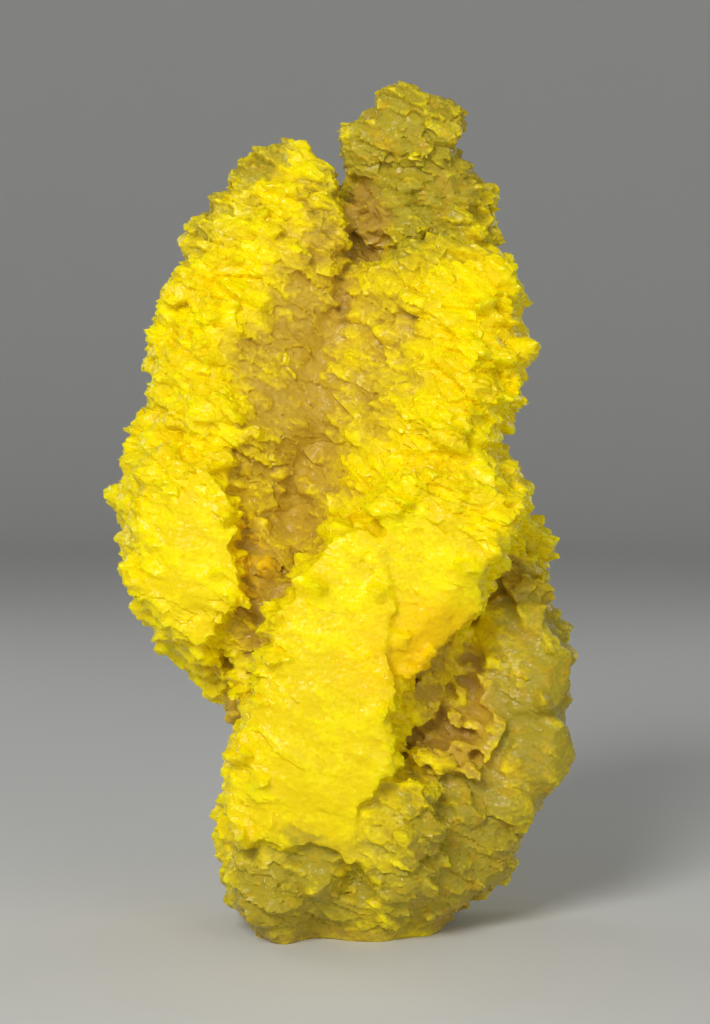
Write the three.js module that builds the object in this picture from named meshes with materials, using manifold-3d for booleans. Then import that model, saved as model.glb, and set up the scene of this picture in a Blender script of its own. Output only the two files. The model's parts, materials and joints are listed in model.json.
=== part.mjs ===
// A native sulfur crystal: one mass of parallel growth, broken from its rock and cut flat below.
// Millimetres, +Z up. The front, with the long valley and the rib, looks along -Y.
import * as THREE from 'three';
import { mergeVertices } from 'three/addons/utils/BufferGeometryUtils.js';
import { ImprovedNoise } from 'three/addons/math/ImprovedNoise.js';
import Module from 'manifold-3d';

const wasm = await Module();
wasm.setup();

// Driving dimensions of the whole mass.
const crystalHeight = 160;
const cutDepth = 30;

// Growth texture: broad swellings, and the thin steps that each growth layer leaves.
const swellingHeight = 3.4;
const swellingSpacing = 17;
const stepHeight = 4.2;
const stepWidth = 8;
const stepThickness = 3.6;

// The crystals on the skin are blunt bipyramids, lying on the growth layers.
const smallestKnob = 4.4;
const largestKnob = 7.6;
const knobShape = new THREE.Vector3(1.15, 1, 0.72);
const knobHeight = 1.5;

// Each lobe is a stack of stations, lowest first:
// [height, left edge, right edge, front, back, where across the front stands out most].
// Flanks gives the squareness of its left and right halves: 1 is a flat slope, 2 round, 3 and more boxy.
const lobes = {
  leftColumn: {
    sides: 24,
    rows: 28,
    flanks: [1.9, 1.3],
    knobs: 15,
    stations: [
      [39, -20.4, -18.6, -4, 4, -19.6],
      [47, -27, -14, -10, 12, -21.5],
      [57, -38, -8, -15, 17, -26.5],
      [68, -41.4, -4, -18, 20, -28],
      [79, -42.4, -1, -19, 20, -27.5],
      [90, -39.8, 3, -19.6, 19, -26],
      [98, -37.6, 5, -19.4, 18, -24.5],
      [109, -34.6, 5.6, -18, 17, -22],
      [122, -31.4, 4.6, -15.5, 14, -18.5],
      [130.5, -29, 2.4, -13, 12, -16],
      [134.5, -26, 1.2, -11.5, 10.5, -14.5],
      [138.5, -22, 0.4, -10, 9, -13],
      [142.5, -19.4, -0.6, -8.5, 8, -12],
      [146.5, -15.6, -4, -6, 5, -11],
      [149, -12, -8.6, -2, 2, -10.8],
    ],
  },
  leftFace: {
    sides: 18,
    rows: 12,
    flanks: [2, 4],
    knobs: 5,
    stations: [
      [49, -27, -22, -13, 0, -24.5],
      [53, -33.6, -20.4, -18, 3, -26],
      [60, -39, -20, -21.4, 6, -28],
      [68, -41, -20, -22.6, 6, -29],
      [76, -41.8, -20.6, -22.6, 6, -29],
      [83, -40.8, -21.6, -21.4, 5, -29],
      [90, -38, -24, -18, 4, -29],
    ],
  },
  rightLobe: {
    sides: 24,
    rows: 26,
    flanks: [1.35, 2.2],
    knobs: 14,
    stations: [
      [44, 8, 10.4, -21, -12, 9.4],
      [49, 5, 14.4, -24, -8, 10.5],
      [54, 1, 19, -25.4, -5, 12],
      [60, -3, 25, -26.4, -1, 14],
      [66, -7, 28.6, -27, 5, 15],
      [73, -9.2, 31.4, -27, 12, 16],
      [79, -10.4, 35.4, -26.4, 15, 17],
      [86, -9.8, 34.4, -25.8, 17, 18],
      [93, -8.6, 31.8, -25, 18, 19],
      [100, -6.6, 33.8, -24, 18, 20],
      [110, -5, 34.6, -21.5, 17, 21],
      [120, -3, 34.8, -17.5, 15, 21],
      [126, 2.6, 31.8, -13.5, 12, 20],
      [130, 13, 26, -8, 7, 19.5],
    ],
  },
  rearTower: {
    sides: 20,
    rows: 26,
    flanks: [2, 2],
    knobs: 8,
    stations: [
      [84, -1, 24, 2, 14, 13],
      [97, 1.4, 27, 1, 18, 13],
      [110, 2.4, 30, 0, 20, 15],
      [124, 2.6, 30.4, -4, 20, 16],
      [131, 1.8, 28.4, -6, 18, 15],
      [137, 0.8, 27.6, -7, 17, 14.5],
      [142, 0.4, 26, -7, 16, 14],
      [146, 0.4, 24, -6.5, 14, 13],
      [149.5, 0.8, 22.4, -6, 12, 12.6],
      [152, 3, 21.8, -5.4, 10, 12.2],
      [154.5, 6.4, 21.6, -5, 8.6, 12],
      [157.2, 8, 19.4, -3, 7, 11.8],
      [159.8, 9.8, 14, 0, 4, 11.4],
    ],
  },
  frontRib: {
    sides: 24,
    rows: 22,
    flanks: [3.4, 3.4],
    knobs: 8,
    stations: [
      [9, -12, 2, -22, -8, -5],
      [16, -17.4, 3.4, -26.6, -6, -6],
      [24, -17.8, 5.2, -29, -6, -6],
      [33, -15.6, 6.8, -30.4, -5, -5.5],
      [43, -15.2, 8.2, -30.8, -5, -4],
      [51, -14.6, 9.2, -30.8, -5, -3],
      [57, -13, 9.6, -30, -5, -2],
      [62, -11.2, 9.6, -29.4, -5, -0.5],
      [67, -8.2, 9, -28.6, -4, 0.5],
      [72, -6, 7.4, -27.4, -4, 1.5],
      [76, -2.4, 5, -25.6, -4, 2],
      [79, 0.8, 2.4, -23, -6, 1.5],
    ],
  },
  rightBulge: {
    sides: 22,
    rows: 22,
    flanks: [1.6, 2],
    knobs: 10,
    stations: [
      [3, 17, 23.4, -6, 14, 20],
      [9, 14, 29.4, -13, 18, 23],
      [17, 12, 35.2, -16, 21, 26],
      [25, 12, 39.6, -15.5, 22, 30],
      [32, 14, 43.2, -13, 23, 34],
      [43, 17, 41.8, -11, 23, 34],
      [53, 18, 43.4, -9, 22, 34],
      [60, 18, 42.4, -7, 21, 33],
      [68, 18, 39, -5, 19, 31],
      [75, 19, 38.4, -3, 16, 30],
      [81, 21, 34, -1, 12, 27],
    ],
  },
  hollowLump: {
    sides: 12,
    rows: 9,
    flanks: [2, 2],
    knobs: 0,
    stations: [
      [26, 14, 25, -13, 4, 19.5],
      [34, 14.6, 27, -12, 4, 20.5],
      [41, 15.4, 27, -7.4, 4, 21],
      [49, 17, 26.4, -6, 4, 21.6],
      [55, 20, 24, -2, 4, 22],
    ],
  },
  base: {
    sides: 26,
    rows: 16,
    flanks: [2.3, 2.3],
    knobs: 6,
    stations: [
      [-9, -7, 8, -9, 8, 0],
      [-4, -12, 13, -15, 13, 0],
      [1, -15.6, 18.6, -17.5, 15.4, -0.5],
      [5, -19.4, 25.4, -21.4, 18, -1],
      [11, -22, 28.4, -24.6, 21, -2],
      [19, -23.2, 31, -25.4, 22, -3],
      [27, -20.8, 33.4, -23, 22, -3],
      [37, -18.6, 30, -15, 20, -1],
      [49, -12, 24, -8, 17, 3],
    ],
  },
  footLump: {
    sides: 14,
    rows: 9,
    flanks: [2.2, 2.6],
    knobs: 0,
    stations: [
      [-3, -12, -6, -15, 0, -9.5],
      [2, -16.8, -3, -21, 2, -10.5],
      [7.5, -20.6, -1.4, -26.4, 2, -11.5],
      [13, -20.8, -2, -27.6, 1, -12],
      [18, -16.4, -5, -23, -2, -11.5],
    ],
  },
  middleLump: {
    sides: 14,
    rows: 9,
    flanks: [2.4, 2.2],
    knobs: 0,
    stations: [
      [1, 5, 14, -18, 0, 9],
      [8, 1.8, 18, -26, 0, 9.4],
      [15, 1.4, 19.4, -28.8, 0, 9.8],
      [22, 2.6, 18, -28, 0, 10],
      [28.5, 6, 14, -22, 0, 10],
    ],
  },
  core: {
    sides: 20,
    rows: 16,
    flanks: [2.4, 2.4],
    knobs: 0,
    stations: [
      [18, -15, 26, -6, 18, 4],
      [38, -17.4, 30, 1, 20, 5],
      [58, -23, 29, -2, 19, 3],
      [88, -29, 27, -4, 17, 0],
      [110, -24, 26, 1, 16, 0],
      [130, -17, 20, 4, 13, 1],
      [140, -9, 12, 6, 9, 2],
    ],
  },
};

const growthNoise = new ImprovedNoise();

// The two curves that carry a lobe's outline and its depth from its foot to its tip.
function lobeCurves(stations) {
  const edges = stations.map(([height, left, right]) => new THREE.Vector3(left, right, height));
  const depths = stations.map(([, , , front, back, ridge]) => new THREE.Vector3(front, back, ridge));
  return {
    edges: new THREE.CatmullRomCurve3(edges, false, 'catmullrom', 0.5),
    depths: new THREE.CatmullRomCurve3(depths, false, 'catmullrom', 0.5),
  };
}

// How far out a superellipse of the given squareness stands in one direction.
function squared(value, squareness) {
  return Math.sign(value) * Math.abs(value) ** (2 / squareness);
}

// A point on a lobe's skin: along runs from 0 at the foot to 1 at the tip, and spread closes both ends.
function skinPoint({ edges, depths }, flanks, along, angle, spread) {
  const edge = edges.getPoint(along);
  const depth = depths.getPoint(along);
  const waist = (depth.x + depth.y) / 2;
  const squareness = Math.cos(angle) < 0 ? flanks[0] : flanks[1];
  const across = squared(Math.cos(angle), squareness) * spread;
  const outward = squared(Math.sin(angle), squareness) * spread;
  const halfWidth = across < 0 ? depth.z - edge.x : edge.y - depth.z;
  const halfDepth = (depth.y - depth.x) / 2;
  return new THREE.Vector3(depth.z + across * halfWidth, waist + outward * halfDepth, edge.z);
}

// Swellings and growth steps push the skin in and out, sideways only, so each layer stays level.
function addGrowth(point, angle) {
  const { x, y, z } = point;
  const swelling = growthNoise.noise(x / swellingSpacing, y / swellingSpacing, z / swellingSpacing);
  const step = growthNoise.noise(x / stepWidth, y / stepWidth, z / stepThickness);
  const push = swellingHeight * swelling + stepHeight * step;
  point.x += Math.cos(angle) * push;
  point.y += Math.sin(angle) * push;
  return point;
}

// A closed mesh as a solid that can be joined and cut.
function toSolid(geometry) {
  geometry.deleteAttribute('normal');
  geometry.deleteAttribute('uv');
  const welded = mergeVertices(geometry, 1e-4);
  return new wasm.Manifold(new wasm.Mesh({
    numProp: 3,
    vertProperties: new Float32Array(welded.attributes.position.array),
    triVerts: new Uint32Array(welded.index.array),
  }));
}

function lobeSolid({ stations, sides, rows, flanks }) {
  const geometry = new THREE.SphereGeometry(1, sides, rows);
  geometry.rotateX(Math.PI / 2);
  const curves = lobeCurves(stations);
  const position = geometry.attributes.position;
  for (let row = 0; row <= rows; row++) {
    const isEnd = row === 0 || row === rows;
    for (let side = 0; side <= sides; side++) {
      const angle = 2 * Math.PI * (side % sides) / sides;
      const point = skinPoint(curves, flanks, 1 - row / rows, angle, isEnd ? 0 : 1);
      if (!isEnd) {
        addGrowth(point, angle);
      }
      position.setXYZ(row * (sides + 1) + side, point.x, point.y, point.z);
    }
  }
  return toSolid(geometry);
}

// Even steps that never repeat, for spreading crystals over a lobe.
function scatter(index, stride) {
  return (0.5 + index * stride) % 1;
}

// Blunt crystals stand out of a lobe's skin, each lying on its growth layer.
function knobSolids({ stations, flanks, knobs }, lobeNumber) {
  const curves = lobeCurves(stations);
  const solids = [];
  for (let index = 0; index < knobs; index++) {
    const along = 0.08 + 0.84 * (index + 0.5) / knobs;
    const angle = 2 * Math.PI * scatter(index + lobeNumber, 0.618034);
    const size = THREE.MathUtils.lerp(smallestKnob, largestKnob, scatter(index + lobeNumber, 0.754878));
    const at = skinPoint(curves, flanks, along, angle, 1);
    const outward = at.clone().sub(skinPoint(curves, flanks, along, angle, 0)).normalize();
    const geometry = new THREE.OctahedronGeometry(size, 0);
    geometry.scale(knobShape.x, knobShape.y, knobShape.z);
    geometry.rotateX(THREE.MathUtils.lerp(-0.4, 0.4, scatter(index, 0.569840)));
    geometry.rotateY(THREE.MathUtils.lerp(-0.4, 0.4, scatter(index, 0.324718)));
    geometry.rotateZ(Math.atan2(outward.y, outward.x) + scatter(index, 0.430159));
    at.addScaledVector(outward, knobHeight - size * knobShape.y);
    geometry.translate(at.x, at.y, at.z);
    solids.push(toSolid(geometry));
  }
  return solids;
}

// All lobes and crystals grown together, then cut off level where the mass left its rock.
function crystalMass() {
  let mass = null;
  Object.values(lobes).forEach((lobe, lobeNumber) => {
    const grown = knobSolids(lobe, lobeNumber).reduce((sum, knob) => sum.add(knob), lobeSolid(lobe));
    mass = mass ? mass.add(grown) : grown;
  });
  const rock = new THREE.BoxGeometry(crystalHeight, crystalHeight, cutDepth);
  rock.translate(0, 0, -cutDepth / 2);
  return mass.subtract(toSolid(rock));
}

function toGeometry(solid) {
  const mesh = solid.getMesh();
  const geometry = new THREE.BufferGeometry();
  geometry.setAttribute('position', new THREE.BufferAttribute(mesh.vertProperties, 3));
  geometry.setIndex(new THREE.BufferAttribute(mesh.triVerts, 1));
  return geometry;
}

const massGeometry = toGeometry(crystalMass());
massGeometry.computeBoundingBox();
const middle = massGeometry.boundingBox.getCenter(new THREE.Vector3());
massGeometry.translate(-middle.x, -middle.y, 0);
massGeometry.computeVertexNormals();

const sulfur = new THREE.MeshStandardMaterial({ color: 0xf2d70e, roughness: 0.32, metalness: 0 });
const crystal = new THREE.Mesh(massGeometry, sulfur);
crystal.name = 'sulfur_crystal_mass';

const model = new THREE.Group();
model.add(crystal);

export default model;
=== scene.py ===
import json
import math

import bmesh
import bpy
import numpy as np
from mathutils import Matrix, Vector, noise
from mathutils.kdtree import KDTree

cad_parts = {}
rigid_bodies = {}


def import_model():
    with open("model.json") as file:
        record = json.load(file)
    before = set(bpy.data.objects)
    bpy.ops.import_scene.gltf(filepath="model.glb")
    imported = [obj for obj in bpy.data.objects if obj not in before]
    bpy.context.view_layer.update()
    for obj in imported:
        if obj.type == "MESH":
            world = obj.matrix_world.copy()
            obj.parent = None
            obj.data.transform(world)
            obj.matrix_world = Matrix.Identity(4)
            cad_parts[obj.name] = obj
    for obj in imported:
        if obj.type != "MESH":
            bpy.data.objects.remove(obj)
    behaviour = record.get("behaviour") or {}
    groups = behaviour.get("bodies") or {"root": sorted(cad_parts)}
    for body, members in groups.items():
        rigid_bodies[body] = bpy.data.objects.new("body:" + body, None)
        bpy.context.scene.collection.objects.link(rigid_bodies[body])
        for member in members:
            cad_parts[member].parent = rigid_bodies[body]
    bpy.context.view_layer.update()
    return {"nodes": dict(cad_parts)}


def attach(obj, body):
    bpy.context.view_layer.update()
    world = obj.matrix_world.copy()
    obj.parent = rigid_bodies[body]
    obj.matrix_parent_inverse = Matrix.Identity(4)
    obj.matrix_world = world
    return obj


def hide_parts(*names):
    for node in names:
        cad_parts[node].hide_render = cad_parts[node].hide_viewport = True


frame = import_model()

massNode = "sulfur_crystal_mass"
mm = 0.001
print("frame loaded")


def linearColour(hexCode):
    # sRGB hex to linear RGBA
    parts = [int(hexCode[i:i + 2], 16) / 255 for i in (1, 3, 5)]
    linear = [c / 12.92 if c <= 0.04045 else ((c + 0.055) / 1.055) ** 2.4 for c in parts]
    return (*linear, 1.0)


def addNode(tree, kind, settings=None, inputs=None):
    # a node with its own settings, and its inputs set to a value or linked to a socket
    node = tree.nodes.new(kind)
    for key, value in (settings or {}).items():
        setattr(node, key, value)
    for key, value in (inputs or {}).items():
        if isinstance(value, bpy.types.NodeSocket):
            tree.links.new(value, node.inputs[key])
        else:
            node.inputs[key].default_value = value
    return node


def shownMesh(obj, name):
    # what an object looks like after its modifiers, as a mesh of its own
    graph = bpy.context.evaluated_depsgraph_get()
    mesh = bpy.data.meshes.new_from_object(obj.evaluated_get(graph))
    mesh.name = name
    return mesh


def evenOut(obj, voxel, passes):
    # an even closed mesh over everything in the object, with its edges rounded
    remesh = obj.modifiers.new("even", "REMESH")
    remesh.mode = "VOXEL"
    remesh.voxel_size = voxel
    smooth = obj.modifiers.new("soften", "SMOOTH")
    smooth.factor = 0.5
    smooth.iterations = passes
    obj.data = shownMesh(obj, "evened")
    obj.modifiers.clear()


def meshArrays(mesh):
    points = np.zeros(len(mesh.vertices) * 3)
    mesh.vertices.foreach_get("co", points)
    normals = np.zeros(len(mesh.vertices) * 3)
    mesh.vertices.foreach_get("normal", normals)
    return points.reshape(-1, 3), normals.reshape(-1, 3)


# Where the growth and its colour change: soft-edged zones, each with its middle and reach in
# millimetres, and how strong it is if not fully so. Amber, olive and brown are partly the mass's
# own tone and partly painted shade where it is set back, hollow or cleft; orange is a painted glow.
zones = {
    "calm": [
        ((-5, -30, 30), (16, 13, 24)),
        ((-1, -30, 58), (13, 13, 22)),
        ((15, -26, 62), (14, 11, 16)),
        ((-29, -20, 72), (11, 8, 12)),
        ((35, -9, 42), (16, 22, 25)),
        ((19, -6, 44), (12, 12, 16), 0.35),
        ((2, -20, 4), (40, 26, 24), 0.5),
        ((30, 0, 22), (14, 26, 18), 0.6),
        ((-9, -4, 97), (13, 14, 36), 0.6),
        ((-15, -4, 60), (9, 14, 20), 0.3),
        ((5, -12, 110), (8, 12, 18), 0.5),
    ],
    # amber: partly own tone, partly painted shade in the valley and the hollow
    "amber": [
        ((-9, -4, 97), (13, 14, 34)),
        ((-15, -4, 60), (9, 14, 22)),
        ((4.5, -12, 110), (8, 12, 20), 0.7),
        ((-4, -8, 129), (6, 12, 16), 0.8),
        ((30, -2, 63), (6, 8, 8)),
        ((26, -10, 36), (12, 14, 20)),
        ((10, 20, 70), (12, 14, 30)),
        ((15, -9, 48), (7, 8, 11)),
    ],
    # orange: a painted glow where light shines through the lower band's edge and the valley's left side
    "orange": [((17, -23, 55), (14, 12, 9)), ((-18, -12, 70), (4, 8, 10))],
    # brown: partly own tone, partly painted shade in the cleft and the hollow
    "brown": [
        ((22, 2, 44), (10, 7.5, 13)),
        ((16, -6, 37), (8, 7, 7)),
        ((-19.5, -4, 40), (5, 12, 5)),
        ((3.5, 3, 133), (5.5, 8, 9)),
        ((2, -15, -1), (32, 18, 4), 0.55),
        ((22, -10, 3), (8, 12, 5), 0.7),
        ((-1, -7, 118), (2, 6, 8)),
        ((14, 18, 30), (9, 10, 9)),
    ],
    # olive: partly own tone, partly painted shade on the set-back crown, right bulge and foot
    "olive": [
        ((13, 3, 146), (18, 30, 23)),
        ((37, 0, 41), (11, 30, 26)),
        ((20, -14, 14), (22, 24, 17)),
        ((-13, -24, 8), (18, 14, 13)),
        ((-26, 0, 133), (8, 10, 9), 0.75),
        ((-17, 2, 145), (9, 12, 6), 0.75),
        ((0, 6, 2), (40, 30, 14)),
    ],
}


def wavering(points, size, reach):
    # the same places moved about, so that what is measured there gets an uneven edge
    return points + reach * np.array([noise.noise_vector(p) for p in map(Vector, points / size)])


def zoneShare(points, name, fall=2.0):
    # 1 in the middle of a zone, falling softly to 0 outside it; the lower the fall, the softer
    share = np.zeros(len(points))
    for middle, reach, *strength in zones[name]:
        distance = np.sqrt((((points - np.array(middle) * mm) / (np.array(reach) * mm)) ** 2).sum(1))
        most = strength[0] if strength else 1
        share = np.maximum(share, np.clip(0.5 + fall * (0.95 - distance), 0, 1) * most)
    return share


# Large grown faces with ragged edges, in millimetres. Each outline is seen from the front, as
# [across, up]; depth runs from the front to inside the mass. Each cut is a plane that the front is
# ground to: [across, up, depth of a point on it, slope across, slope up]. A covered one has crystals
# all over it, and the others show their ground front.
largeFaces = {
    "rib": {
        "outline": [(1.5, 77), (-2, 75.5), (-4.5, 72.5), (-6.5, 70), (-9.5, 68), (-9.5, 64.5), (-13, 62),
                    (-14, 58.5), (-13, 57), (-16, 52.5), (-16, 49), (-17.5, 43), (-19.5, 38.5),
                    (-21, 32.5), (-21.5, 25.5), (-20, 19.5), (-15, 21), (-11.5, 19), (-6, 20.5),
                    (-1.5, 19), (0, 16.5), (2, 16.5), (1.5, 21), (2, 27.5), (4.5, 28.5), (6, 31.5),
                    (8.5, 32.5), (8, 36.5), (8.5, 39), (7, 42.5), (8.5, 45), (9, 48), (7.5, 54.5),
                    (7.5, 59.5), (9, 63.5), (7.5, 68), (6.5, 71.5), (6.5, 74.5), (4, 77)],
        "depth": (-30.5, -12),
        "cuts": [(-2, 62, -26, 0.03, 0.1), (-4, 42, -27.5, 0, 0), (-5, 24, -26.2, 0, -0.16),
                 (-13, 45, -26.8, -0.4, 0), (6, 45, -27.2, 0.4, 0)],
    },
    "lowerBand": {
        "outline": [(7, 47), (10, 47.5), (13.5, 51), (16.5, 54.5), (19.5, 58), (23.5, 61), (25, 62.5),
                    (24.5, 67), (25.5, 70.5), (29, 75.5), (31, 81), (20, 88), (7, 85)],
        "depth": (-26, -8),
        "cuts": [(14, 66, -23.8, 0.05, 0), (18, 57.5, -21.2, 0.45, -0.35)],
    },
    "leftStep": {
        "outline": [(-38.5, 81), (-37.5, 67.5), (-32, 60.5), (-27, 57.5), (-24, 60), (-22, 61.5),
                    (-20.5, 61), (-19.5, 63.5), (-20, 67.5), (-20, 71), (-22, 73.5), (-19.5, 77),
                    (-22, 83), (-27, 88.5), (-35, 90.5)],
        "depth": (-22, -6),
        "cuts": [(-27, 72, -18.8, 0, 0.02), (-33, 72, -17.6, -0.5, 0), (-28, 61, -17.4, 0, -0.4)],
    },
    "shoulder": {
        "outline": [(0.5, 104), (1, 112), (1.5, 118), (2, 123), (5, 126.5), (8.5, 127.5), (11, 129.5),
                    (13, 130.5), (19.5, 130), (24.5, 129), (28, 127.5), (31, 124.5), (32, 120),
                    (32, 107.5), (19.5, 102)],
        "depth": (-24, 0),
        "cuts": [(17, 112, -17, 0, 0.2), (17, 125, -12.5, 0, 0.5), (6, 112, -8.5, -0.75, 0.05),
                 (28, 112, -14.5, 0.8, 0.1)],
        "covered": True,
    },
    "crest": {
        "outline": [(-16.5, 124), (-17, 134), (-14.5, 138.5), (-12.5, 144), (-8.5, 145.5), (-5, 144),
                    (-2, 143), (-1.5, 141), (0, 136), (-0.5, 133), (0.5, 130), (-0.5, 124), (-2.5, 116),
                    (-8, 111), (-14, 116)],
        "depth": (-12, 4),
        "cuts": [(-12, 130, -8.6, 0.35, 0.3), (-9, 140, -4.6, 0.25, 0.5), (-8, 122, -8.2, 0.4, -0.15)],
        "covered": True,
    },
    "middleFoot": {
        "outline": [(2, 27), (5.5, 30.5), (8.5, 32), (13.5, 30), (16.5, 27.5), (18, 23), (18.5, 18.5),
                    (15, 18.5), (11.5, 14), (8.5, 12), (5, 11), (3.5, 13), (2.5, 16.5)],
        "depth": (-27, -8),
        "cuts": [(8, 20, -25.4, 0.1, 0), (9, 28, -24.4, 0, 0.4), (15, 22, -24, 0.6, 0),
                 (8, 14, -24.8, 0, -0.4)],
        "covered": True,
    },
    "leftFoot": {
        "outline": [(-21, 21.5), (-17, 23.5), (-13.5, 22), (-10.5, 23), (-9.5, 17), (-10.5, 12), (-9, 8),
                    (-11, 5), (-14.5, 4), (-18.5, 5.5), (-20, 9), (-21.5, 13)],
        "depth": (-27, -6),
        "cuts": [(-14, 14, -24.2, 0.15, 0.1), (-17, 12, -22.6, -0.8, 0), (-13, 8, -23, 0.2, -0.5),
                 (-11, 14, -23.8, 0.6, 0)],
        "covered": True,
    },
    "innerFoot": {
        "outline": [(-11.5, 22), (-6, 23), (-1, 20.5), (0.5, 14), (-0.5, 10.5), (-2, 9), (-3.5, 7.5),
                    (-6, 8), (-8.5, 5), (-11, 6)],
        "depth": (-27, -6),
        "cuts": [(-5, 15, -23.2, 0, -0.15), (-9, 12, -22.4, -0.6, 0), (-2, 14, -22.6, 0.5, 0),
                 (-6, 9, -22, 0, -0.7)],
        "covered": True,
    },
    "rightBulge": {
        "outline": [(29, 32), (32, 40), (36, 41.5), (39, 41), (41.5, 39), (42.8, 36), (43, 33),
                    (42, 30.5), (40.5, 28.4), (38, 26.5), (33, 25)],
        "depth": (-13, 8),
        "cuts": [(36, 34, -10, 0.1, 0.05), (41, 34, -7, 1.1, 0), (37, 39.5, -8, 0, 0.9),
                 (37, 28, -8.6, 0, -0.8)],
        "covered": True,
    },
    "valleyFoot": {
        "outline": [(-24, 60), (-21, 72), (-16, 76), (-10, 73), (-8, 66), (-12, 58), (-16, 50),
                    (-17.5, 42), (-20, 41), (-21, 48), (-22.5, 54)],
        "depth": (-18, 4),
        "cuts": [(-16, 62, -12.5, 0.15, 0.12), (-18, 48, -9.5, 0.1, -0.3)],
        "covered": True,
    },
    "hollowFloor": {
        "outline": [(12.5, 49), (16, 52), (20, 57), (25, 58.5), (28, 52), (29.5, 44), (27, 39), (22, 36),
                    (16, 36), (12.5, 39), (11, 44)],
        "depth": (-10, 8),
        "cuts": [(21, 46, -5, 0, 0.17)],
        "covered": True,
    },
    "hollowWall": {
        "outline": [(8, 44), (12.5, 47.5), (16.5, 51), (23, 58), (22.5, 56), (20, 51), (19, 47.5),
                    (18, 44.5), (16.5, 41), (13, 39.5), (8, 36)],
        "depth": (-16, 6),
        "cuts": [(15, 46, -10, 0.8, 0.1)],
    },
    "rightPlane": {
        "outline": [(24.5, 58), (26, 61.5), (28, 63), (32, 64), (36, 62), (38, 57), (40.5, 54.5),
                    (42, 53), (42.3, 49.5), (41.5, 46), (40, 43.5), (37, 42), (34, 42), (31, 42),
                    (29.5, 44), (28, 46.5), (26, 51.5)],
        "depth": (-10, 6),
        "cuts": [(34, 50, -8.2, 0.05, 0.1), (28, 50, -6.2, -0.5, 0.15), (40, 50, -6, 0.8, 0.1),
                 (33, 58, -4.4, 0.05, 0.45)],
    },
    "flap": {
        "outline": [(31.5, 61.5), (37.5, 62), (37, 59), (35.5, 57), (35.5, 56), (34.5, 56.5), (33.5, 58),
                    (32.5, 59.5)],
        "depth": (-9, 4),
        "cuts": [(34.5, 59, -5.4, 0.25, 0.2)],
    },
    "upperFlap": {
        "outline": [(33.5, 67.5), (35, 66.5), (37, 67), (39.3, 64.5), (39, 64), (37.5, 63.5), (37, 62.5),
                    (35.5, 61), (33, 61.5), (31.5, 62.5), (30.5, 64.5), (33.5, 65.5)],
        "depth": (-8, 6),
        "cuts": [(35, 64, -3.4, 0.3, 0.1)],
    },
    "laceA": {
        "outline": [(24, 49.5), (25, 49), (26, 47.5), (27, 47), (27.5, 45), (28.5, 43), (28.5, 41.5),
                    (27.5, 41.5), (26.5, 42.5), (25, 43), (24.5, 44.5), (26, 45.5), (25, 47)],
        "depth": (-9, 2),
        "cuts": [(26, 45, -7.6, 0, 0.1)],
    },
    "laceB": {
        "outline": [(20, 46.5), (22, 46.5), (22.5, 46), (22, 45), (22.5, 44), (22.5, 43), (21, 43),
                    (21, 45)],
        "depth": (-7, 4),
        "cuts": [(21.5, 45, -6.2, 0.1, 0.1)],
    },
    "laceC": {
        "outline": [(21.5, 39), (23, 40.5), (24.5, 40.5), (26, 39.5), (25, 39), (26, 38), (26.5, 37),
                    (25.5, 37), (24, 39)],
        "depth": (-10, 2),
        "cuts": [(24, 39, -9, 0, 0.2)],
    },
    "laceD": {
        "outline": [(11.5, 35), (13.5, 36), (15, 36), (16, 35), (18.5, 34.5), (19, 33.5), (17.5, 33),
                    (17.5, 31), (16, 32.5), (15, 33), (13.5, 33), (12, 34)],
        "depth": (-17, -4),
        "cuts": [(15, 34, -15.6, 0, 0.3)],
    },
    "laceE": {
        "outline": [(19, 32), (21, 32.5), (22, 33.5), (23, 34), (23.5, 32.5), (25, 31.5), (24.5, 30),
                    (22.5, 30.5), (21.5, 31.5)],
        "depth": (-16, -4),
        "cuts": [(22, 32, -14.8, 0.1, 0.3)],
    },
    "laceF": {
        "outline": [(27, 42.5), (30, 40.5), (29.5, 38.5), (28, 36), (26, 33), (25, 32), (25.5, 34),
                    (23.5, 36), (26, 36.5), (28, 38.5)],
        "depth": (-12, 2),
        "cuts": [(27, 38, -10.4, 0, 0.2)],
    },
    "laceG": {
        "outline": [(19.5, 50), (21.5, 49.5), (23, 51), (23.5, 50), (22.5, 49), (21, 48.8)],
        "depth": (-6, 4),
        "cuts": [(21.5, 50, -4.8, 0.1, 0.1)],
    },
    "laceH": {
        "outline": [(18.5, 42), (20, 42.5), (21.5, 41.5), (20.5, 40.5), (21, 39), (19.5, 39.5), (19, 41)],
        "depth": (-10, 2),
        "cuts": [(20, 41, -8.2, 0.1, 0.1)],
    },
    "laceI": {
        "outline": [(19.5, 37), (21, 37.5), (22.5, 36.5), (24, 36), (23, 35), (21, 35.5), (20, 34.5),
                    (18.5, 36)],
        "depth": (-14, 2),
        "cuts": [(21, 36, -11.6, 0.1, 0.2)],
    },
    "laceJ": {
        "outline": [(26, 52.5), (27.5, 52), (28, 50), (29.5, 48.5), (29, 47), (27.5, 48), (26, 50)],
        "depth": (-9, 2),
        "cuts": [(27.5, 50, -7, -0.2, 0.1)],
    },
    "crown": {
        "outline": [(5.6, 156.6), (8, 158.2), (10.2, 159.6), (12.4, 159.4), (15, 157.2), (20.4, 156.7),
                    (21.7, 154), (21, 150), (19, 145), (10, 144), (7, 150), (6, 154.6)],
        "depth": (-5, 7),
        "cuts": [(13, 152, -2.8, 0.1, 0.2), (18, 152, -2.2, 0.5, 0.1), (8, 152, -1.6, -0.5, 0.2),
                 (13, 148, -1.8, 0.1, -0.4)],
    },
    "crownStep": {
        "outline": [(-1.2, 150.6), (0.2, 152), (2, 152.4), (4.6, 152), (6.5, 153), (8, 147), (5, 142),
                    (0, 142.5), (-0.6, 145)],
        "depth": (-4, 8),
        "cuts": [(3, 148, -0.4, -0.3, 0.2), (3, 146, 0, -0.3, -0.5)],
    },
    "leftPeak": {
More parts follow.
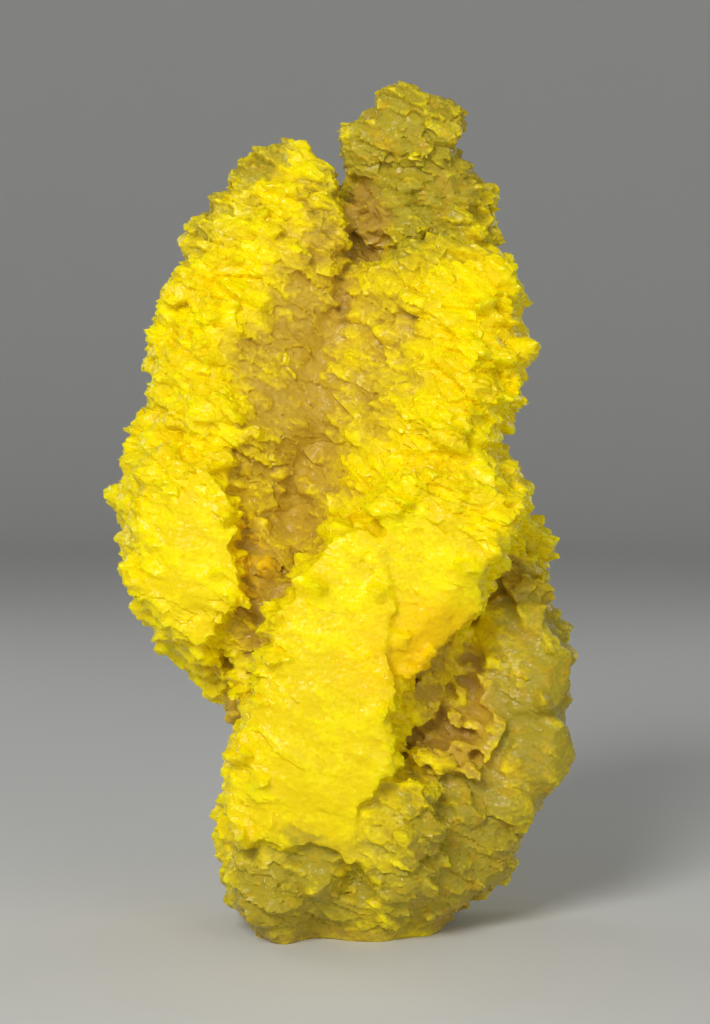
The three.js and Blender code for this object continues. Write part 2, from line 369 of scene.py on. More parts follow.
        "outline": [(-11.2, 149.7), (-9, 148.8), (-6, 145.4), (-3.2, 143.8), (-5, 136), (-19, 137),
                    (-21.8, 141.4), (-21.2, 143), (-18, 145.1), (-15.6, 147.2), (-13.6, 147.5)],
        "depth": (-5, 6),
        "cuts": [(-12, 142, -2.6, 0, 0.35), (-19, 141, -1.2, -0.6, 0.2)],
    },
    "leftEar": {
        "outline": [(-30.2, 130), (-30, 133), (-28.8, 134.2), (-25, 134.8), (-24.2, 137.6), (-22, 139.2),
                    (-18, 139), (-17, 127), (-29, 124)],
        "depth": (-9, 7),
        "cuts": [(-22, 131, -5.6, 0, 0.3), (-27, 131, -4.8, -0.6, 0.2)],
    },
}
raggedness = {
    "pitch": 2.1 * mm,  # from one tooth of an edge to the next
    "height": 0.55 * mm,
    "step": 0.7 * mm,
}


def makeLargeFace(name, settings, inset):
    # the outline with a ragged edge, drawn out in depth, then ground to its front planes; an inset
    # leaves room for crystals on it
    corners = np.array(settings["outline"]) * mm
    front, rear = (d * mm for d in settings["depth"])
    ahead = np.roll(corners, -1, axis=0)
    turned = np.sign((corners[:, 0] * ahead[:, 1] - ahead[:, 0] * corners[:, 1]).sum())
    body = bmesh.new()
    rim = []
    for start, end in zip(corners, ahead):
        length = np.linalg.norm(end - start)
        outward = np.array([end[1] - start[1], start[0] - end[0]]) / length
        outward *= turned
        for share in np.arange(0, 1, 1 / max(1, round(length / raggedness["step"]))):
            x, z = start + (end - start) * share
            wave = noise.noise(Vector((x, front, z)) / raggedness["pitch"] * 1.6)
            x, z = np.array([x, z]) + outward * (wave * raggedness["height"] - inset)
            rim.append((x, z))
    # built side by side, because extruding gives the faces in a chance order
    frontRing = [body.verts.new((x, front, z)) for x, z in rim]
    rearRing = [body.verts.new((x, rear, z)) for x, z in rim]
    body.faces.new(frontRing)
    body.faces.new(rearRing[::-1])
    for here, beside in enumerate([*range(1, len(rim)), 0]):
        body.faces.new((frontRing[here], rearRing[here], rearRing[beside], frontRing[beside]))
    bmesh.ops.triangulate(body, faces=body.faces)
    for x, z, depth, across, up in settings["cuts"]:
        normal = Vector((across, -1, up)).normalized()
        geometry = body.verts[:] + body.edges[:] + body.faces[:]
        cut = bmesh.ops.bisect_plane(
            body, geom=geometry, plane_co=Vector((x, depth, z)) * mm - normal * inset, plane_no=normal,
            clear_outer=True)
        edges = [e for e in cut["geom_cut"] if isinstance(e, bmesh.types.BMEdge)]
        bmesh.ops.holes_fill(body, edges=edges, sides=0)
    bmesh.ops.triangulate(body, faces=body.faces)
    bmesh.ops.recalc_face_normals(body, faces=body.faces)
    mesh = bpy.data.meshes.new(name)
    body.to_mesh(mesh)
    body.free()
    obj = bpy.data.objects.new(name, mesh)
    bpy.context.scene.collection.objects.link(obj)
    return obj


def roomFor(settings):
    # the room for crystals in front of a large face
    middle = np.array(settings["outline"]).mean(0)
    return crystalRoom(np.array([[middle[0], settings["cuts"][0][2], middle[1]]]) * mm)[0]


# The inner mass that the crystals stand on: the frame's solid, evened out, drawn in a little, and
# joined with the large faces.
core = {
    "voxel": 1.0 * mm,
    "smoothing": 2,
    "drawnIn": 1.4 * mm,  # the room for crystals
    "sunk": 3.0 * mm,  # how far the underside reaches below the floor, for a clean level cut
    "calming": 14,  # extra smoothing passes where the faces grew large and flat
}


def crystalRoom(points):
    # how thick the crystals stand on the core: next to nothing where large faces grew
    return core["drawnIn"] * (1 - 0.9 * zoneShare(points, "calm"))


def makeCore(plates):
    obj = bpy.data.objects.new("core", frame["nodes"][massNode].data.copy())
    bpy.context.scene.collection.objects.link(obj)
    evenOut(obj, core["voxel"], core["smoothing"])
    points, _ = meshArrays(obj.data)
    calm = zoneShare(points, "calm")
    group = obj.vertex_groups.new(name="calm")
    for index in np.nonzero(calm)[0]:
        group.add([int(index)], float(calm[index]), "REPLACE")
    calming = obj.modifiers.new("calm", "SMOOTH")
    calming.vertex_group = "calm"
    calming.factor = 0.5
    calming.iterations = core["calming"]
    obj.data = shownMesh(obj, "calmedCore")
    obj.modifiers.clear()
    points, normals = meshArrays(obj.data)
    moved = points - normals * crystalRoom(points)[:, None]
    moved[:, 2] -= core["sunk"] * np.clip(1.5 - points[:, 2] / (2 * mm), 0, 1)
    obj.data.vertices.foreach_set("co", moved.ravel())
    joined = bmesh.new()
    for mesh in (obj.data, *(plate.data for plate in plates)):
        joined.from_mesh(mesh)
    joined.to_mesh(obj.data)
    joined.free()
    evenOut(obj, core["voxel"], 1)
    return obj


# Single sulfur crystals: the faces of a real one, each at its own chance distance.
# Flakes are cut short across their long axis, and points keep their tips.
crystalForm = {
    "axes": (0.813, 1.0, 1.903),
    "kinds": 12,
    "flake": {"steep": (0.44, 0.70), "blunt": (0.62, 0.80), "flat": (0.22, 0.30)},
    "point": {"steep": (0.46, 0.66), "blunt": (0.50, 0.70), "flat": (0.55, 0.85)},
    "seed": 11,
}


def faceNormals(h, k, l):
    # every face of the form hkl, as unit normals
    a, b, c = crystalForm["axes"]
    found = set()
    for x in (1, -1):
        for y in (1, -1):
            for z in (1, -1):
                found.add((x * h / a + 0.0, y * k / b + 0.0, z * l / c + 0.0))
    return [Vector(n).normalized() for n in sorted(found)]


def makeCrystalKinds():
    chance = np.random.default_rng(crystalForm["seed"])
    kinds = bpy.data.collections.new("crystalKinds")
    bpy.context.scene.collection.children.link(kinds)
    forms = [((1, 1, 1), "steep"), ((1, 1, 3), "blunt"), ((0, 0, 1), "flat"), ((0, 1, 0), "steep")]
    for number in range(2 * crystalForm["kinds"]):
        habit = crystalForm["flake" if number < crystalForm["kinds"] else "point"]
        body = bmesh.new()
        bmesh.ops.create_cube(body, size=4)
        for indices, key in forms:
            for normal in faceNormals(*indices):
                distance = chance.uniform(*habit[key])
                geometry = body.verts[:] + body.edges[:] + body.faces[:]
                cut = bmesh.ops.bisect_plane(
                    body, geom=geometry, plane_co=normal * distance, plane_no=normal, clear_outer=True)
                rim = [e for e in cut["geom_cut"] if isinstance(e, bmesh.types.BMEdge)]
                if rim:
                    bmesh.ops.contextual_create(body, geom=rim)
        bmesh.ops.remove_doubles(body, verts=body.verts, dist=0.01)
        bmesh.ops.recalc_face_normals(body, faces=body.faces)
        mesh = bpy.data.meshes.new(f"crystalKind{number:02d}")
        body.to_mesh(mesh)
        body.free()
        kinds.objects.link(bpy.data.objects.new(mesh.name, mesh))
    return kinds


# Generations of crystals, in millimetres. Proud is how far one stands out of the skin, and thick is
# its size outward as a share of its size across. Spread is the chance that a place keeps its crystal
# on a face that looks forwards, and on one that looks sideways; calm is the share of those that
# also grow where large faces are.
generations = {
    "blocks": {"habit": "flake", "spacing": 6.0, "across": (3.8, 6.2), "thick": 0.8,
               "proud": (-1.5, -0.4), "spread": (0.6, 0.8), "stray": 0.14, "calm": 0.8},
    "flakes": {"habit": "flake", "spacing": 2.2, "across": (1.9, 3.6), "thick": 0.7,
               "proud": (-1.2, -0.2), "spread": (0.5, 0.75), "stray": 0.16, "calm": 0.15},
    "knobs": {"habit": "point", "spacing": 4.0, "across": (3.0, 5.2), "thick": 1.0,
              "proud": (-0.5, 1.6), "spread": (0.02, 0.8), "stray": 0.25, "calm": 0.12},
    "tips": {"habit": "point", "spacing": 2.4, "across": (1.6, 2.8), "thick": 1.2,
             "proud": (-0.8, 0.8), "spread": (0.10, 0.5), "stray": 0.30, "calm": 0.12},
}
growth = {
    "seed": 23,
    "layerLean": 0.42,  # radians that the growth layers lean down to the right
    "parallel": 0.5,  # how strongly crystals keep to the faces of the one big crystal
    "behind": 0.8,  # the share of crystals that stay at the back
    "nearFloor": 0.6,  # the share that stay just above the cut
    "proportions": (1.5, 0.8),  # how long and how wide a crystal is, for its size across
    "halfThick": {"flake": 0.26, "point": 0.62},
}


def scatterPoints(mesh, spacing, chance, measured=None):
    # points spread over a mesh, no two closer than the spacing; measured may stretch the space first
    mesh.calc_loop_triangles()
    corners = np.zeros(len(mesh.loop_triangles) * 3, dtype=np.int32)
    mesh.loop_triangles.foreach_get("vertices", corners)
    corners = corners.reshape(-1, 3)
    points, normals = meshArrays(mesh)
    a, b, c = (points[corners[:, i]] for i in range(3))
    areas = np.linalg.norm(np.cross(b - a, c - a), axis=1) / 2
    tries = int(areas.sum() / spacing ** 2 * 5)
    picked = chance.choice(len(areas), tries, p=areas / areas.sum())
    u, v = chance.random((2, tries, 1))
    over = u + v > 1
    u, v = np.where(over, 1 - u, u), np.where(over, 1 - v, v)
    places = a[picked] + u * (b - a)[picked] + v * (c - a)[picked]
    facing = normals[corners[picked]].mean(1)
    gauged = measured(places) if measured else places
    cells = {}
    kept = []
    for index, place in enumerate(gauged):
        cell = tuple((place // spacing).astype(int))
        near = [
            other
            for x in (-1, 0, 1) for y in (-1, 0, 1) for z in (-1, 0, 1)
            for other in cells.get((cell[0] + x, cell[1] + y, cell[2] + z), ())
        ]
        if near and (((gauged[near] - place) ** 2).sum(1) < spacing ** 2).any():
            continue
        cells.setdefault(cell, []).append(index)
        kept.append(index)
    facing = facing[kept]
    return places[kept], facing / np.linalg.norm(facing, axis=1, keepdims=True)


def unit(vectors):
    return vectors / np.maximum(np.linalg.norm(vectors, axis=1, keepdims=True), 1e-9)


def parallelFacing(facing):
    # the nearest of the big crystal's own faces, which lie with its long axis upright
    forms = [(1, 1, 1), (1, 1, 3), (0, 1, 1), (1, 0, 1), (1, 1, 0), (0, 1, 0), (1, 0, 0)]
    faces = np.array([n for form in forms for n in faceNormals(*form)])
    return faces[(facing @ faces.T).argmax(1)]


def makeGeneration(name, coreMesh, chance):
    # one cloud of points that carries the place, turn, size and kind of each crystal
    settings = generations[name]
    places, facing = scatterPoints(coreMesh, settings["spacing"] * mm, chance)
    forwards, sideways = settings["spread"]
    keepShare = forwards + (sideways - forwards) * np.abs(facing[:, 0]) ** 0.7
    keepShare = np.where(facing[:, 1] > 0.5, growth["behind"] * keepShare, keepShare)
    keepShare = keepShare * np.where(places[:, 2] < 1.5 * mm, growth["nearFloor"], 1.0)
    keepShare = keepShare * (1 - (1 - settings["calm"]) * zoneShare(places, "calm"))
    kept = chance.random(len(places)) < keepShare
    places, facing = places[kept], facing[kept]
    count = len(places)
    smallest, largest = settings["across"]
    across = (smallest + (largest - smallest) * chance.random(count) ** 1.5) * mm
    low, high = settings["proud"]
    proud = (low + (high - low) * chance.random(count) ** 1.4) * mm
    proud += (settings["calm"] - 0.8) * 0.8 * zoneShare(places, "calm") * mm
    thick = across * settings["thick"]
    outward = unit(facing * (1 - growth["parallel"]) + parallelFacing(facing) * growth["parallel"]
                   + chance.normal(0, settings["stray"], (count, 3)))
    halfThick = thick * growth["halfThick"][settings["habit"]]
    proud -= 0.9 * np.clip(facing[:, 1], 0, 1) * mm
    places = places + facing * crystalRoom(places)[:, None] + outward * (proud - halfThick)[:, None]
    lean = growth["layerLean"]
    layer = unit(np.cross(outward, np.array([math.sin(lean) * 0.4, 0.15, math.cos(lean)]))
                 + chance.normal(0, 0.22, (count, 3)))
    turning = np.zeros((count, 3))
    for index in range(count):
        z = Vector(outward[index])
        y = z.cross(Vector(layer[index])).normalized()
        x = y.cross(z)
        turning[index] = Matrix((x, y, z)).transposed().to_euler()
    first = 0 if settings["habit"] == "flake" else crystalForm["kinds"]
    cloud = bpy.data.meshes.new(name)
    cloud.from_pydata(places.tolist(), [], [])
    long, wide = growth["proportions"]
    columns = {"turning": turning, "sizing": np.stack([across * long, across * wide, thick], 1)}
    for key, values in columns.items():
        attribute = cloud.attributes.new(key, "FLOAT_VECTOR", "POINT")
        attribute.data.foreach_set("vector", values.ravel())
    kind = cloud.attributes.new("kind", "INT", "POINT")
    kind.data.foreach_set("value", (first + chance.integers(0, crystalForm["kinds"], count)).astype(np.int32))
    print(f"{name}: {count} crystals")
    obj = bpy.data.objects.new(name, cloud)
    bpy.context.scene.collection.objects.link(obj)
    return obj


def growTogether(coreObj, plates, clouds, kinds):
    # large faces, and crystals set on the clouds, joined with the core in one closed skin and cut level
    tree = bpy.data.node_groups.new("growTogether", "GeometryNodeTree")
    tree.interface.new_socket("Geometry", in_out="INPUT", socket_type="NodeSocketGeometry")
    tree.interface.new_socket("Geometry", in_out="OUTPUT", socket_type="NodeSocketGeometry")
    start = addNode(tree, "NodeGroupInput")
    kindsNode = addNode(tree, "GeometryNodeCollectionInfo", inputs={
        "Collection": kinds, "Separate Children": True})
    union = addNode(tree, "GeometryNodeMeshBoolean", {"operation": "UNION", "solver": "MANIFOLD"})
    tree.links.new(start.outputs[0], union.inputs["Mesh"])
    for plate in plates:
        source = addNode(tree, "GeometryNodeObjectInfo", inputs={"Object": plate})
        tree.links.new(source.outputs["Geometry"], union.inputs["Mesh"])
    for cloud in clouds:
        source = addNode(tree, "GeometryNodeObjectInfo", inputs={"Object": cloud})
        read = {
            key: addNode(tree, "GeometryNodeInputNamedAttribute", {"data_type": kind}, {"Name": key})
            for key, kind in (("turning", "FLOAT_VECTOR"), ("sizing", "FLOAT_VECTOR"), ("kind", "INT"))
        }
        turn = addNode(tree, "FunctionNodeEulerToRotation", inputs={
            "Euler": read["turning"].outputs["Attribute"]})
        grown = addNode(tree, "GeometryNodeInstanceOnPoints", inputs={
            "Points": source.outputs["Geometry"],
            "Instance": kindsNode.outputs[0],
            "Pick Instance": True,
            "Instance Index": read["kind"].outputs["Attribute"],
            "Rotation": turn.outputs[0],
            "Scale": read["sizing"].outputs["Attribute"],
        })
        tree.links.new(grown.outputs[0], union.inputs["Mesh"])
    block = addNode(tree, "GeometryNodeMeshCube", inputs={"Size": (0.3, 0.3, 0.1)})
    lowered = addNode(tree, "GeometryNodeTransform", inputs={
        "Geometry": block.outputs[0], "Translation": (0, 0, -0.05)})
    level = addNode(tree, "GeometryNodeMeshBoolean", {"operation": "DIFFERENCE", "solver": "MANIFOLD"}, {
        "Mesh 1": union.outputs[0], "Mesh 2": lowered.outputs[0]})
    end = addNode(tree, "NodeGroupOutput")
    tree.links.new(level.outputs[0], end.inputs[0])
    modifier = coreObj.modifiers.new("growTogether", "NODES")
    modifier.node_group = tree
    return shownMesh(coreObj, "sulfurCrystals")


# The skin over them: dissolved a little, so its edges are blunt, and covered with growth faces like
# overlapping scales. Each size of face has its spacing, how far one stands above the next, and its slope.
skin = {
    "voxel": 0.5 * mm,
    "softening": 2,
    "mostTriangles": 194000,
    "sharpAngle": 40,
    "overview": {"passes": 150, "deepest": 3.0 * mm},  # finds what lies deep between the lobes
    "closeUp": {"passes": 14, "deepest": 0.9 * mm},  # finds the small crevices and edges
    "flatness": 2.2,  # how much wider than tall the faces are
    "faces": [
        {"spacing": 7.0 * mm, "step": 0.22 * mm, "slope": 0.06, "waver": 2.4 * mm,
         "calm": -0.75, "tone": 0.3},
        {"spacing": 2.8 * mm, "step": 0.24 * mm, "slope": 0.10, "waver": 1.1 * mm,
         "calm": -0.75, "tone": 0.5},
        {"spacing": 1.4 * mm, "step": 0.12 * mm, "slope": 0.10, "waver": 0.5 * mm, "calm": -0.6, "tone": 0.2},
    ],
}


def makeTree(points):
    tree = KDTree(len(points))
    for index, point in enumerate(points):
        tree.insert(point, index)
    tree.balance()
    return tree


def nearestTo(tree, points):
    return np.array([tree.find(point)[1] for point in points])


def layered(points):
    # the same places measured along and across the growth layers
    lean = growth["layerLean"]
    x, y, z = points.T
    along = x * math.cos(lean) - z * math.sin(lean) * 0.6
    across = z * math.cos(lean) + x * math.sin(lean)
    return np.stack([along, y, across * skin["flatness"]], 1)


def growFaces(mesh, coreMesh, chance):
    # moves the skin in and out into faces; returns where each point is now, and its face's tone and heart
    points, _ = meshArrays(mesh)
    corePoints, coreNormals = meshArrays(coreMesh)
    outward = coreNormals[nearestTo(makeTree(corePoints), points)]
    calm = zoneShare(points, "calm")
    level = np.clip(points[:, 2] / (3 * mm), 0, 1)
    shift = np.zeros(len(points))
    tone = np.zeros(len(points))
    flatPoints = layered(points)
    for number, faces in enumerate(skin["faces"]):
        waver = wavering(points, faces["spacing"] / 1.1, faces["waver"]) - points
        looked = flatPoints + waver
        hearts, _ = scatterPoints(mesh, faces["spacing"], chance, layered)
        flatHearts = layered(hearts)
        owner = nearestTo(makeTree(flatHearts), looked)
        height = chance.uniform(-1, 1, len(hearts))
        slope = chance.normal(0, faces["slope"], (len(hearts), 3))
        slope[:, 2] -= 0.8 * faces["slope"]
        away = looked - flatHearts[owner]
        strength = level * (1 + faces["calm"] * calm)
        shift += strength * (height[owner] * faces["step"] + (away * slope[owner]).sum(1))
        tone += (0.5 + 0.5 * height[owner]) * faces["tone"]
        if faces["tone"] == max(f["tone"] for f in skin["faces"]):
            heart = hearts[owner]
    moved = points + outward * shift[:, None]
    mesh.vertices.foreach_set("co", moved.ravel())
    mesh.update()
    return moved, tone, heart


def markSkin(obj, grown):
    # what the finish needs to know at each point: how deep it lies, and whether it sits in a crevice or on a
    # ridge, both used for painted shade in hollows and crevices and a painted highlight on ridges; and which
    # colour its zone has
    mesh = obj.data
    points, _ = meshArrays(mesh)
    places, tone, heart = grown
    nearest = nearestTo(makeTree(places), points)
    blurred = wavering(0.4 * points + 0.6 * heart[nearest], 9 * mm, 5 * mm)
    lying = {}
    for name in ("overview", "closeUp"):
        smooth = obj.modifiers.new(name, "SMOOTH")
        smooth.factor = 0.5
        smooth.iterations = skin[name]["passes"]
        evenPoints, evenNormals = meshArrays(shownMesh(obj, name))
        obj.modifiers.clear()
        lying[name] = ((points - evenPoints) * evenNormals).sum(1) / skin[name]["deepest"]
    values = {
        # painted shade: the deeper below the smoothed skin, the more amber is painted in
        "recess": np.clip(-lying["overview"], 0, 1),
        # painted shade in crevices and a painted highlight on ridges: crevices take the darker zone colours,
        # ridges keep the bright yellow
        "relief": np.clip(0.5 + lying["closeUp"] / 2, 0, 1),
    }
    for name in ("amber", "orange", "olive"):
        values[name] = zoneShare(blurred, name, 1.2)
    values["brown"] = zoneShare(wavering(points, 5 * mm, 1.5 * mm), "brown", 1.6)
    values["patch"] = tone[nearest]
    # kept on the corners of the faces, because the renderer parts the points along sharp edges
    corners = np.zeros(len(mesh.loops), dtype=np.int32)
    mesh.loops.foreach_get("vertex_index", corners)
    for name, column in values.items():
        attribute = mesh.attributes.new(name, "FLOAT", "CORNER")
        attribute.data.foreach_set("value", column[corners].astype(np.float32))


bedding = [makeLargeFace(name, settings, roomFor(settings)) for name, settings in largeFaces.items()]
showing = [
    makeLargeFace(name, settings, 0) for name, settings in largeFaces.items() if "covered" not in settings
]
coreObj = makeCore(bedding)
print("core made:", len(coreObj.data.polygons), "faces")
kinds = makeCrystalKinds()
noise.seed_set(growth["seed"])
chance = np.random.default_rng(growth["seed"])
clouds = [makeGeneration(name, coreObj.data, chance) for name in generations]
grownMesh = growTogether(coreObj, showing, clouds, kinds)
coreObj.modifiers.clear()
print("grown together:", len(grownMesh.polygons), "faces")

sulfurMass = bpy.data.objects.new("sulfur_crystals", grownMesh)
bpy.context.scene.collection.objects.link(sulfurMass)
evenOut(sulfurMass, skin["voxel"], skin["softening"])
print("skin melted:", len(sulfurMass.data.polygons), "faces")
grown = growFaces(sulfurMass.data, coreObj.data, chance)
triangulate = sulfurMass.modifiers.new("triangles", "TRIANGULATE")
sulfurMass.data = shownMesh(sulfurMass, "sulfurTriangles")
sulfurMass.modifiers.clear()
allTriangles = len(sulfurMass.data.polygons)
print("triangles before thinning:", allTriangles)
if allTriangles > skin["mostTriangles"]:
    thinned = sulfurMass.modifiers.new("thin", "DECIMATE")
    thinned.ratio = skin["mostTriangles"] / allTriangles
    sulfurMass.data = shownMesh(sulfurMass, "sulfurSkin")
    sulfurMass.modifiers.clear()
sulfurMass.data.materials.clear()
sulfurMass.data.shade_smooth()
sulfurMass.data.set_sharp_from_angle(angle=math.radians(skin["sharpAngle"]))
markSkin(sulfurMass, grown)
print("skin made:", len(sulfurMass.data.polygons), "triangles")

for obj in [coreObj, *bedding, *showing, *clouds, *kinds.objects]:
    bpy.data.objects.remove(obj)
bpy.data.collections.remove(kinds)


# Native sulfur, grown and broken faces: resinous, bright yellow, and light passes some way into it,
# so thin and forward parts glow; deep parts are painted amber as shade.
sulfurLook = {
    "bright": "#ffea00",
    "plain": "#f0d50a",
    # amber, olive and brown: partly the mass's own tone, partly painted shade
    "amber": "#c2a034",
    # painted glow of light through the mass
    "orange": "#ffc800",
    "olive": "#a8982e",
    "brown": "#b08c38",
    "veil": "#c49a20",
    "roughness": 0.4,
    "polish": 0.16,
    "ior": 1.6,
    "patchSize": 9 * mm,
    "mottleSize": 3.2 * mm,
    "grainSize": 0.8 * mm,
    "facetSize": 1.3 * mm,
    "bumpHeight": 0.3 * mm,
    "specular": 0.14,  # resinous rather than glassy
    "glow": 0.6,  # how much of the light goes in
    "glowReach": 1.8 * mm,
    "glowColours": (1.0, 0.85, 0.08),  # red and green go in far, blue hardly at all
}


# Each zone's colour, partly the mass's own tone and partly painted shade: the share where it starts
# and is full, its most, how far the mottling and the painted crevice shade pull it, and how much of
# it the painted depth shade alone gives.
zoneLook = {
    "amber": {"starts": 0.1, "full": 1.1, "most": 0.97, "mottling": 1.8, "creviceShade": 1.0, "depth": 0.2},
    "olive": {"starts": 0.08, "full": 0.9, "most": 0.9, "mottling": 2.0, "creviceShade": 0.8, "depth": 0.0},
    "brown": {"starts": 0.2, "full": 0.95, "most": 0.85, "mottling": 0.9, "creviceShade": 0.8, "depth": 0.0},
}


def makeSulfur():
    material = bpy.data.materials.new("nativeSulfur")
    material.use_nodes = True
    tree = material.node_tree
    tree.nodes.clear()
    mark = {
        name: addNode(tree, "ShaderNodeAttribute", {"attribute_name": name}).outputs["Fac"]
        for name in ("patch", "recess", "relief", "orange", "amber", "olive", "brown")
    }
    place = addNode(tree, "ShaderNodeTexCoord").outputs["Object"]
    broad = addNode(tree, "ShaderNodeTexNoise", inputs={
        "Vector": place, "Scale": 1 / sulfurLook["patchSize"], "Detail": 3.0, "Roughness": 0.55}).outputs[0]
    mottle = addNode(tree, "ShaderNodeTexNoise", inputs={
        "Vector": place, "Scale": 1 / sulfurLook["mottleSize"], "Detail": 3.0, "Roughness": 0.6}).outputs[0]
    grain = addNode(tree, "ShaderNodeTexNoise", inputs={
        "Vector": place, "Scale": 1 / sulfurLook["grainSize"], "Detail": 2.0, "Roughness": 0.6}).outputs[0]
    # the tone runs through the mass in soft patches, and steps a little from face to face
    tone = -0.175
    for part, weight in ((broad, 0.35), (mottle, 0.3), (mark["patch"], 0.35), (grain, 0.35)):
        tone = addNode(tree, "ShaderNodeMath", {"operation": "MULTIPLY_ADD"}, {
            0: part, 1: weight, 2: tone}).outputs[0]
    clear = addNode(tree, "ShaderNodeMapRange", {"interpolation_type": "SMOOTHSTEP"}, {
        "Value": tone, "From Min": 0.38, "From Max": 0.66}).outputs[0]
    colour = addNode(tree, "ShaderNodeMix", {"data_type": "RGBA"}, {
        0: clear, 6: linearColour(sulfurLook["plain"]), 7: linearColour(sulfurLook["bright"])}).outputs[2]
    # painted glow: orange where light shines through the mass
    paintedGlow = addNode(tree, "ShaderNodeMath", {"operation": "MULTIPLY"}, {0: mark["orange"], 1: 0.75}).outputs[0]
    colour = addNode(tree, "ShaderNodeMix", {"data_type": "RGBA"}, {
        0: paintedGlow, 6: colour, 7: linearColour(sulfurLook["orange"])}).outputs[2]
    # zones turn amber, olive and brown face by face, partly as painted shade: deep faces and crevices
    # first, while ridges keep the bright yellow as a painted highlight
    for name, zone in zoneLook.items():
        pull = 1 + 0.5 * (zone["mottling"] + zone["creviceShade"])
        pulls = ((tone, -zone["mottling"]), (mark["recess"], 0.3), (mark["relief"], -zone["creviceShade"]))
        for part, weight in pulls:
            pull = addNode(tree, "ShaderNodeMath", {"operation": "MULTIPLY_ADD"}, {
                0: part, 1: weight, 2: pull}).outputs[0]
        # painted shade: deep places take the zone colour by depth alone
        depthShade = addNode(tree, "ShaderNodeMath", {"operation": "MULTIPLY"}, {
            0: mark["recess"], 1: zone["depth"]}).outputs[0]
        reached = addNode(tree, "ShaderNodeMath", {"operation": "MULTIPLY_ADD"}, {
            0: mark[name], 1: pull, 2: depthShade}).outputs[0]
        share = addNode(tree, "ShaderNodeMapRange", {"interpolation_type": "SMOOTHSTEP"}, {
            "Value": reached, "From Min": zone["starts"], "From Max": zone["full"],
            "To Max": zone["most"]}).outputs[0]
        colour = addNode(tree, "ShaderNodeMix", {"data_type": "RGBA"}, {
            0: share, 6: colour, 7: linearColour(sulfurLook[name])}).outputs[2]
    # thin amber veils that show best on the olive parts
    streak = addNode(tree, "ShaderNodeMapRange", {"interpolation_type": "SMOOTHSTEP"}, {
        "Value": mottle, "From Min": 0.48, "From Max": 0.66}).outputs[0]
    olivePart = addNode(tree, "ShaderNodeMath", {"operation": "MULTIPLY_ADD"}, {
        0: mark["olive"], 1: 0.4, 2: 0.1}).outputs[0]
    veil = addNode(tree, "ShaderNodeMath", {"operation": "MULTIPLY"}, {0: streak, 1: olivePart}).outputs[0]
    colour = addNode(tree, "ShaderNodeMix", {"data_type": "RGBA"}, {
        0: veil, 6: colour, 7: linearColour(sulfurLook["veil"])}).outputs[2]
    # small facets, drawn out along the growth layers, break up the glints
    lying = addNode(tree, "ShaderNodeMapping", inputs={
        "Vector": place, "Rotation": (0, growth["layerLean"], 0), "Scale": (1, 1, 1.4)}).outputs[0]
    facet = addNode(tree, "ShaderNodeTexVoronoi", {"feature": "F1"}, {
        "Vector": lying, "Scale": 1 / sulfurLook["facetSize"], "Randomness": 1.0}).outputs["Distance"]
    height = addNode(tree, "ShaderNodeMath", {"operation": "MULTIPLY_ADD"}, {
        0: grain, 1: 0.9, 2: facet}).outputs[0]
    gloss = addNode(tree, "ShaderNodeMapRange", inputs={
        "Value": grain, "From Min": 0.35, "From Max": 0.65,
        "To Min": sulfurLook["polish"], "To Max": sulfurLook["roughness"]}).outputs[0]
    bump = addNode(tree, "ShaderNodeBump", inputs={
        "Height": height, "Strength": 0.5, "Distance": sulfurLook["bumpHeight"]}).outputs[0]
    shader = addNode(tree, "ShaderNodeBsdfPrincipled", inputs={
        "Base Color": colour,
        "Roughness": gloss,
        "IOR": sulfurLook["ior"],
        "Specular IOR Level": sulfurLook["specular"],
        "Subsurface Weight": sulfurLook["glow"],
        "Subsurface Radius": sulfurLook["glowColours"],
        "Subsurface Scale": sulfurLook["glowReach"],
        "Normal": bump,
    })
    addNode(tree, "ShaderNodeOutputMaterial", inputs={"Surface": shader.outputs[0]})
    return material


sulfurMass.data.materials.append(makeSulfur())
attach(sulfurMass, "root")
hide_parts(massNode)
print("sulfur finished")


# Plain pale floor that curves up all round, soft light from the left front, weaker from the right and
# behind.
studio = {
    "floorColour": "#d9d9d6",
    "floorReach": 1.6,
    "bend": 0.5,
    "wall": 1.6,
    "lights": {  # where each one is, how wide it is, and its power
        "keyLight": ((-0.3, -0.8, 0.5), 0.35, 6.6),
        "fillLight": ((0.5, -0.8, 0.2), 0.6, 2.0),
        "leftRim": ((-0.5, 0.45, 0.35), 0.3, 0.5),
        "rightRim": ((0.5, 0.5, 0.3), 0.3, 0.4),
    },
    "lightsLookAt": (0, 0, 0.08),
    "worldColour": (0.8, 0.82, 0.85, 1),
    "worldStrength": 0.2,
}


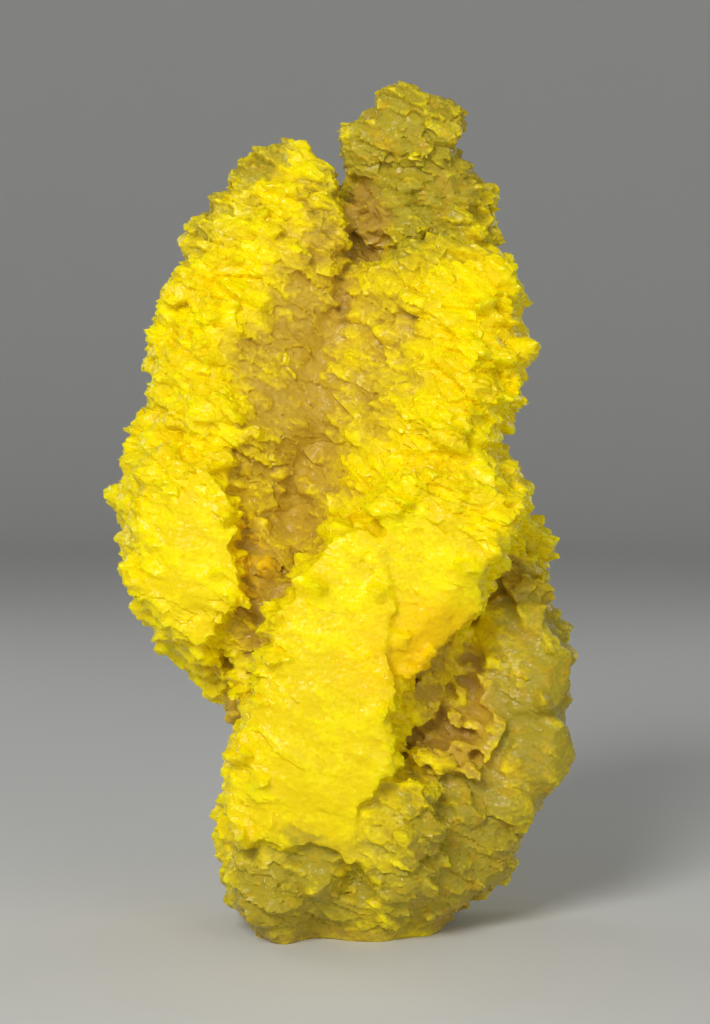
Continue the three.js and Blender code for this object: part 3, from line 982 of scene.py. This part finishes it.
def makeFloor():
    reach, bend = studio["floorReach"], studio["bend"]
    steps, around = 16, 96
    line = [(0.0, 0.0)]
    for step in range(steps + 1):
        angle = math.pi / 2 * step / steps
        line.append((reach - bend + bend * math.sin(angle), bend - bend * math.cos(angle)))
    line.append((reach, studio["wall"]))
    turns = [2 * math.pi * turn / around for turn in range(around)]
    points = [(0, 0, 0)] + [(r * math.cos(a), r * math.sin(a), z) for r, z in line[1:] for a in turns]
    faces = []
    for turn in range(around):
        follow = (turn + 1) % around
        faces.append((0, 1 + turn, 1 + follow))
        for ring in range(len(line) - 2):
            low, high = 1 + ring * around, 1 + (ring + 1) * around
            faces.append((low + turn, high + turn, high + follow, low + follow))
    mesh = bpy.data.meshes.new("floor")
    mesh.from_pydata(points, [], faces)
    mesh.shade_smooth()
    floor = bpy.data.objects.new("floor", mesh)
    bpy.context.scene.collection.objects.link(floor)
    material = bpy.data.materials.new("paleFloor")
    material.use_nodes = True
    shader = material.node_tree.nodes["Principled BSDF"]
    shader.inputs["Base Color"].default_value = linearColour(studio["floorColour"])
    shader.inputs["Roughness"].default_value = 0.9
    mesh.materials.append(material)


def makeLight(name, place, size, power):
    data = bpy.data.lights.new(name, "AREA")
    data.shape = "DISK"
    data.size = size
    data.energy = power
    light = bpy.data.objects.new(name, data)
    light.location = place
    light.rotation_mode = "QUATERNION"
    light.rotation_quaternion = (Vector(place) - Vector(studio["lightsLookAt"])).to_track_quat("Z", "Y")
    bpy.context.scene.collection.objects.link(light)


makeFloor()
for name, light in studio["lights"].items():
    makeLight(name, *light)

world = bpy.data.worlds.new("studio")
bpy.context.scene.world = world
world.use_nodes = True
world.node_tree.nodes["Background"].inputs["Color"].default_value = studio["worldColour"]
world.node_tree.nodes["Background"].inputs["Strength"].default_value = studio["worldStrength"]

view = {
    "aim": (1.6 * mm, 0, 78.9 * mm),
    "distance": 536.5 * mm,
    "elevation": 3,
    "lens": 100,
}
cameraData = bpy.data.cameras.new("camera")
cameraData.lens = view["lens"]
cameraData.sensor_width = 36
camera = bpy.data.objects.new("camera", cameraData)
rise = math.radians(view["elevation"])
back = Vector((0, -math.cos(rise), math.sin(rise)))
camera.location = Vector(view["aim"]) + back * view["distance"]
camera.rotation_mode = "QUATERNION"
camera.rotation_quaternion = back.to_track_quat("Z", "Y")
bpy.context.scene.collection.objects.link(camera)
bpy.context.scene.camera = camera
bpy.context.scene.view_settings.view_transform = "Standard"
print("studio made")
